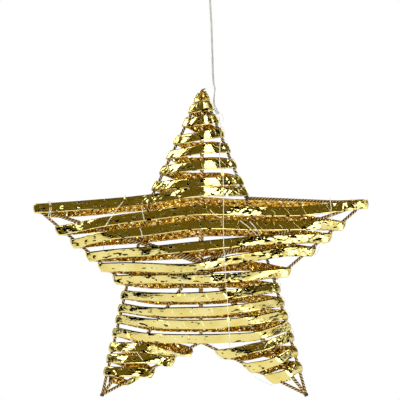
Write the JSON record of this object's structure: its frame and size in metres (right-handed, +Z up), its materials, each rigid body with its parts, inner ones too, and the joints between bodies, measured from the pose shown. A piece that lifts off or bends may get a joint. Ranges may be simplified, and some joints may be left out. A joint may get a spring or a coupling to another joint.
{
  "type": "hanging lighted star",
  "caption": "Five-pointed wire-frame star wound with mirror-gold ribbon, with a fine light string over it and a clear twin lead that ends in a hanging ring.",
  "frame": {"origin": "the inside top of the ring that the star hangs from, where a hook bears", "axes": "+Z up, the front of the star faces -Y, +X to the viewer's right; the outline lies in the plane y = 0"},
  "size_m": [0.3341, 0.0749, 0.4211],
  "materials": {
    "thread_wire": "thin steel wire wound closely with fine gold-brown metallic thread",
    "gold_ribbon": "crinkled mirror-gold metallised film",
    "clear_lead": "clear soft insulation on a thin twin lead",
    "hanging_metal": "bright plated wire",
    "light_wire": "bare silver wire with small clear resin drops over warm white lamps"
  },
  "bodies": {
    "root": {"edge_wire_01": "thread_wire", "edge_wire_02": "thread_wire", "edge_wire_03": "thread_wire", "edge_wire_04": "thread_wire", "edge_wire_05": "thread_wire", "edge_wire_06": "thread_wire", "edge_wire_07": "thread_wire", "edge_wire_08": "thread_wire", "edge_wire_09": "thread_wire", "edge_wire_10": "thread_wire", "front_wire_to_top": "thread_wire", "front_wire_to_right": "thread_wire", "front_wire_to_lower_right": "thread_wire", "front_wire_to_lower_left": "thread_wire", "front_wire_to_left": "thread_wire", "front_wire_to_bottom": "thread_wire", "back_wire_to_top": "thread_wire", "back_wire_to_right": "thread_wire", "back_wire_to_lower_right": "thread_wire", "back_wire_to_lower_left": "thread_wire", "back_wire_to_left": "thread_wire", "back_wire_to_bottom": "thread_wire", "side_wire_left": "thread_wire", "side_wire_right": "thread_wire", "ribbon_turn_01": "gold_ribbon", "ribbon_turn_02": "gold_ribbon", "ribbon_turn_03": "gold_ribbon", "ribbon_turn_04": "gold_ribbon", "ribbon_turn_05": "gold_ribbon", "ribbon_turn_06": "gold_ribbon", "ribbon_turn_07": "gold_ribbon", "ribbon_turn_08": "gold_ribbon", "ribbon_turn_09": "gold_ribbon", "ribbon_turn_10": "gold_ribbon", "ribbon_turn_11": "gold_ribbon", "ribbon_turn_12": "gold_ribbon", "ribbon_turn_13": "gold_ribbon", "ribbon_turn_14": "gold_ribbon", "ribbon_turn_15": "gold_ribbon", "ribbon_turn_16": "gold_ribbon", "ribbon_turn_17": "gold_ribbon", "ribbon_turn_18": "gold_ribbon", "ribbon_turn_19": "gold_ribbon", "ribbon_turn_20": "gold_ribbon", "ribbon_turn_21": "gold_ribbon", "ribbon_turn_22": "gold_ribbon", "ribbon_turn_23": "gold_ribbon", "lead": "clear_lead", "lead_sleeve": "clear_lead", "lead_ferrule": "hanging_metal", "hanging_ring": "hanging_metal", "light_string": "light_wire"}
  },
  "joints": []
}
